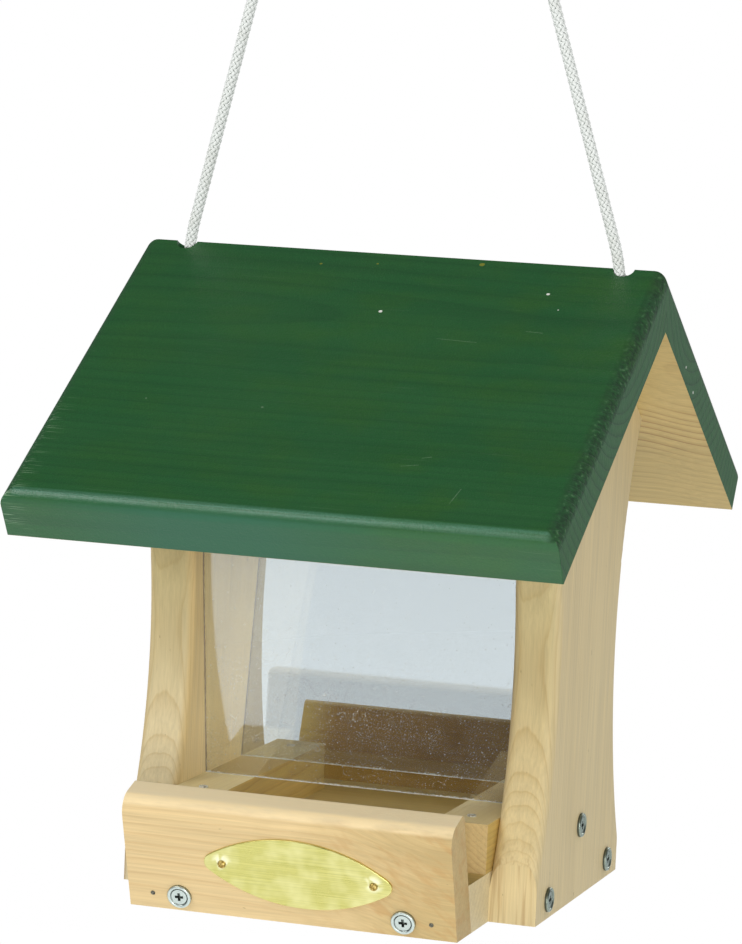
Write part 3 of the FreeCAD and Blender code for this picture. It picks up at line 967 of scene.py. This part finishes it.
def specks(shader, size, radius, share):
    """Small round spots on an upright sheet: one in each cell of this size, in this share of the cells."""
    cells = shader.add("TexVoronoi")
    cells.voronoi_dimensions = "2D"
    sheet = shader.joined(shader.sum((shader.x, 1.0), (shader.y, 1.7)), shader.z, 0.0)
    shader.feed(cells.inputs["Vector"], shader.vector("DIVIDE", sheet, (size, size, size)))
    cells.inputs["Scale"].default_value = 1.0
    chance = shader.parts(cells.outputs["Color"])[0]
    spot = shader.span(cells.outputs["Distance"], 0.6 * radius / size, radius / size, 1.0, 0.0)
    return shader.times(spot, shader.span(chance, share + 0.02, share))


def pane_dust(shader):
    """How much dust and hair scratches cover a pane's inner side, most of all near its foot."""
    near_foot = shader.span(shader.z, pane_foot + 75, pane_foot + 20, 0.15, 1.0)
    patch = shader.span(shader.even_noise(14), 0.38, 0.58)
    powder = shader.span(shader.even_noise(0.7), 0.54, 0.68, 0.0, 0.16)
    powder = shader.most(powder, shader.times(specks(shader, 1.5, 0.17, 0.6), 0.8))
    powder = shader.times(powder, patch, near_foot)
    dots = shader.times(specks(shader, 5.0, 0.3, 0.35), 0.6)
    rare = shader.sum((shader.even_noise(7, 1.0), 1.0), (near_foot, 0.1))
    hair = shader.maths("ABSOLUTE", shader.maths("SUBTRACT", shader.even_noise(9, 1.0), 0.5))
    hair = shader.times(shader.span(hair, 0.0, 0.006, 0.4, 0.0), shader.span(rare, 0.7, 0.72))
    inside = shader.span(off_pane(shader), -0.2, 0.2, 1.0, 0.0)
    return shader.times(shader.most(powder, dots, hair), inside)


def sawn_edge(shader):
    """How white a pane's sawn lower edge is."""
    ragged = shader.sum((shader.z, 1.0), (shader.even_noise(1.2), -1.5))
    sawn = shader.span(ragged, pane_foot - 0.55, pane_foot - 0.1, 0.75, 0.0)
    return shader.times(sawn, shader.span(shader.even_noise(22), 0.35, 0.55, 0.35, 1.0))


def pane_finish():
    """Clear sheet with a cold tint, dust, hair scratches and sawn edges, and brown where its edges sit in
    the grooves, partly grime and partly painted shade. Lamps shine through it.
    """
    shader = Finish("clear_pane_dusty")
    shader.set(Base_Color=srgb(236, 239, 240), Roughness=0.01, IOR=1.95, Transmission_Weight=1.0)
    haze = shader.span(shader.even_noise(35, 3.0), 0.35, 0.75, 0.0, 0.01)
    # Where the pane sits in a groove it is painted brown: grime and painted shade of the gap.
    sides = shader.span(shader.maths("ABSOLUTE", shader.x), wall_face, wall_face + 0.4, 0.0, 0.85)
    cover = shader.most(pane_dust(shader), sides, haze, sawn_edge(shader))
    veil = shader.add("BsdfDiffuse")
    shader.feed(veil.inputs["Color"], shader.mix(sides, srgb(226, 228, 224), srgb(150, 108, 58)))
    dusty = shader.blend_shaders(cover, shader.surface.outputs[0], veil.outputs[0])
    clear = shader.add("BsdfTransparent")
    clear.inputs["Color"].default_value = srgb(248, 250, 250)
    lamp_ray = shader.add("LightPath").outputs["Is Shadow Ray"]
    shader.feed(shader.output.inputs["Surface"], shader.blend_shaders(lamp_ray, dusty, clear.outputs[0]))
    return shader.material


# Metal and yarn


def plate_pin_tips():
    """The outermost point of each of the plate's two pins."""
    points = [mm * vertex.co for vertex in nodes["plate_pins"].data.vertices]
    middle = sum(point.x for point in points) / len(points)
    tips = []
    for sign in (-1, 1):
        own = [point for point in points if sign * (point.x - middle) > 0]
        tips.append(min(own, key=lambda point: point.y))
    return tips


def brass_finish():
    """Pale brass, brushed along its length, with smudges and a dent round each pin. Painted highlights lie
    on the dents and along the plate's rim, and painted shade darkens its corners.
    """
    shader = Finish("brass_brushed")
    brush = shader.noise((26, 0.25, 0.25), 2.0)
    smudge = shader.noise((10, 9, 9), 2.0)
    gleam_mottle = shader.span(shader.even_noise(3.5, 1.0), 0.38, 0.52)
    colour = shader.mix(shader.span(brush, 0.3, 0.7), srgb(188, 184, 106), srgb(216, 209, 130))
    colour = shader.mix(shader.span(smudge, 0.42, 0.72, 0.0, 0.6), colour, srgb(238, 233, 174))
    height = shader.sum((brush, 0.02), (smudge, 0.08))
    for tip in plate_pin_tips():
        dent = shader.span(shader.away_from(tip), 0.3 * dent_radius, dent_radius, 1.0, 0.0, smooth=True)
        height = shader.sum((height, 1.0), (dent, -dent_depth))
        # Painted highlight beside each pin, on its dent.
        colour = shader.mix(shader.times(dent, gleam_mottle), colour, srgb(254, 252, 214))
    # Painted highlight along the plate's rim.
    rim = shader.rest(shader.facing("Y", -1))
    colour = shader.mix(shader.times(rim, 0.8), colour, srgb(250, 240, 160))
    # Painted shade in the corners round the plate and pins.
    colour = shader.mix(shader.span(shader.crevice(1.5), 0.1, 0.5, 0.0, 0.45), colour, srgb(128, 98, 40))
    rough = shader.maths("ADD", shader.sum((smudge, 0.3), (brush, 0.2)), 0.08)
    shader.set(Base_Color=colour, Metallic=1.0, Roughness=rough)
    shader.bump(height)
    return shader.material


def zinc_finish(name, dark, light):
    """Zinc plate, a little uneven, with painted shade darkening its corners and recesses."""
    shader = Finish(name)
    cloud = shader.even_noise(1.6, 3.0)
    # Painted shade in the recesses and round the washers.
    darkening = shader.span(shader.crevice(1.8), 0.1, 0.45, 0.0, 0.88)
    colour = shader.mix(darkening, shader.mix(cloud, dark, light), srgb(72, 78, 72))
    shader.set(Base_Color=colour, Metallic=1.0, Roughness=shader.span(cloud, 0.3, 0.7, 0.34, 0.5))
    shader.bump(shader.times(cloud, 0.03))
    return shader.material


def pin_finish(name, dark, light, metal):
    """Pins and nails driven flush, cloudy and dull."""
    shader = Finish(name)
    cloud = shader.even_noise(0.7, 3.0)
    colour = shader.mix(shader.span(cloud, 0.4, 0.6), dark, light)
    shader.set(Base_Color=colour, Metallic=metal, Roughness=0.5)
    shader.bump(shader.times(cloud, 0.1))
    return shader.material


def cord_finish():
    """White yarn: fine fibres, a soft edge, a little dirt and shade between the strands."""
    shader = Finish("white_cord_yarn")
    fibre = shader.noise((0.25, 0.25, 0.6), 2.0)
    darkening = shader.span(shader.even_noise(8), 0.45, 0.8, 0.0, 0.3)
    shade = shader.span(shader.crevice(0.8), 0.2, 0.7, 0.0, 0.6)
    colour = shader.mix(fibre, srgb(226, 231, 228), srgb(246, 249, 247))
    colour = shader.mix(darkening, colour, srgb(204, 204, 194))
    colour = shader.mix(shade, colour, srgb(150, 158, 152))
    shader.set(Base_Color=colour, Roughness=0.75, Sheen_Weight=0.25)
    shader.bump(shader.times(fibre, 0.06))
    return shader.material


# Dressing


def dress(material, *names):
    for name in names:
        for slot in nodes[name].material_slots:
            slot.link = "OBJECT"
            slot.material = material


def dress_walls():
    right = wall_pine(
        "pine_wall_right",
        pith=(74.5, -80),
        light=srgb(222, 204, 160),
        dark=srgb(192, 162, 108),
        face_tint=srgb(248, 247, 242),
        edge_shading_tints=(srgb(252, 250, 242), srgb(240, 238, 226), srgb(224, 228, 214)),
    )
    left = wall_pine(
        "pine_wall_left",
        pith=(-74.5, -80),
        light=srgb(224, 208, 170),
        dark=srgb(194, 168, 120),
        face_tint=srgb(250, 240, 212),
        edge_shading_tints=(srgb(250, 250, 248), srgb(241, 241, 234), srgb(188, 186, 146)),
    )
    dress(right, "side_wall_right")
    dress(left, "side_wall_left")


def dress_boards():
    dress(front_rail_pine(), "front_rail")
    dress(rear_rail_pine(), "rear_rail")
    dress(floor_pine(), "floor_board")
    dress(block_pine(), "cross_block_left", "cross_block_right")
    dress(roof_finish("roof_front_paint", pith=(-60, 260)), "front_roof_board")
    dress(roof_finish("roof_rear_paint", pith=(52, 264), swirl=(78, 32, 7)), "rear_roof_board")
    dress(pane_finish(), "front_pane", "rear_pane")


def dress_metal():
    bright = zinc_finish("zinc_plated", srgb(184, 194, 189), srgb(210, 220, 215))
    dress(bright, *(name for name in nodes if name.endswith(("_rail_screws", "_rail_washers"))))
    dull = zinc_finish("zinc_dull", srgb(112, 122, 112), srgb(160, 170, 160))
    dress(dull, *(name for name in nodes if name.endswith(("_wall_screws", "_wall_washers"))))
    dress(brass_finish(), "name_plate")
    dress(pin_finish("brass_pin", srgb(140, 112, 48), srgb(222, 196, 122), 0.9), "plate_pins")
    dress(pin_finish("pin_steel", srgb(54, 52, 44), srgb(120, 118, 104), 0.6), "rail_pins")
    # The nails' near-white tone is partly a painted glint.
    dress(pin_finish("nail_steel", srgb(142, 138, 122), srgb(236, 236, 230), 0.25), "block_nails")


# Light and floor

Sight = namedtuple("Sight", "any gloss tint")


def add_lamp(name, place, power, tint):
    data = bpy.data.lights.new(name, "AREA")
    data.size = lamp_size
    data.energy = power
    data.color = tint
    lamp = bpy.data.objects.new(name, data)
    bpy.context.scene.collection.objects.link(lamp)
    lamp.location = place
    lamp.rotation_euler = (lamp_target - Vector(place)).to_track_quat("-Z", "Y").to_euler()


def studio_sight(tree):
    """For the world and the floor: 1 where a lens, gloss or glass looks at them, 1 where gloss alone does,
    and the tint that gloss sees."""
    rays = tree.add("LightPath").outputs
    gloss = rays["Is Glossy Ray"]
    any_sight = tree.most(rays["Is Camera Ray"], gloss, rays["Is Transmission Ray"])
    return Sight(any_sight, gloss, tree.mix(gloss, plain_white, gloss_tint))


def add_world():
    """White where a lens or glass looks, a dark ceiling for gloss, and even light on the object."""
    world = bpy.data.worlds.new("studio")
    bpy.context.scene.world = world
    world.use_nodes = True
    tree = ShaderTree(world.node_tree)
    sight = studio_sight(tree)
    upwards = tree.parts(tree.add("TexCoord").outputs["Generated"])[2]
    ceiling = tree.span(upwards, ceiling_start, ceiling_full, 1.0, ceiling_level)
    seen = tree.between(sight.gloss, 1.0, ceiling)
    background = world.node_tree.nodes["Background"]
    tree.feed(background.inputs["Strength"], tree.between(sight.any, world_level, seen))
    tree.feed(background.inputs["Color"], sight.tint)


def floor_finish():
    """Pale floor that keeps the shadow, fades out at its rim and is clear from below."""
    shader = Finish("floor_white")
    sight = studio_sight(shader)
    shader.set(Base_Color=srgb(244, 244, 244), Roughness=0.9, Specular_IOR_Level=0.0)
    shader.set(Emission_Color=sight.tint, Emission_Strength=shader.times(sight.any, floor_glow))
    away = shader.vector("LENGTH", shader.vector("MULTIPLY", shader.place, (1, 1, 0)))
    fade = shader.span(away, mm * floor_fade, mm * floor_radius, 1.0, 0.0)
    below = shader.add("NewGeometry").outputs["Backfacing"]
    shader.set(Alpha=shader.times(fade, shader.rest(below)))
    return shader.material


def add_floor():
    """A round floor under the hanging house."""
    vertices = [(0, 0, -floor_drop)]
    for ring in (floor_inner_radius, floor_radius):
        for side in range(floor_sides):
            turn = 2 * math.pi * side / floor_sides
            vertices.append((ring * math.cos(turn), ring * math.sin(turn), -floor_drop))
    faces = []
    for side in range(floor_sides):
        a = 1 + side
        b = 1 + (side + 1) % floor_sides
        faces.append((0, a, b))
        faces.append((a, a + floor_sides, b + floor_sides, b))
    add_piece("floor", vertices, faces, floor_finish())


add_camera()
bpy.context.scene.view_settings.view_transform = "Standard"
yarn = cord_finish()
cord("left", yarn)
cord("right", yarn)
dress_walls()
dress_boards()
dress_metal()
add_world()
for lamp in lamps:
    add_lamp(*lamp)
add_floor()
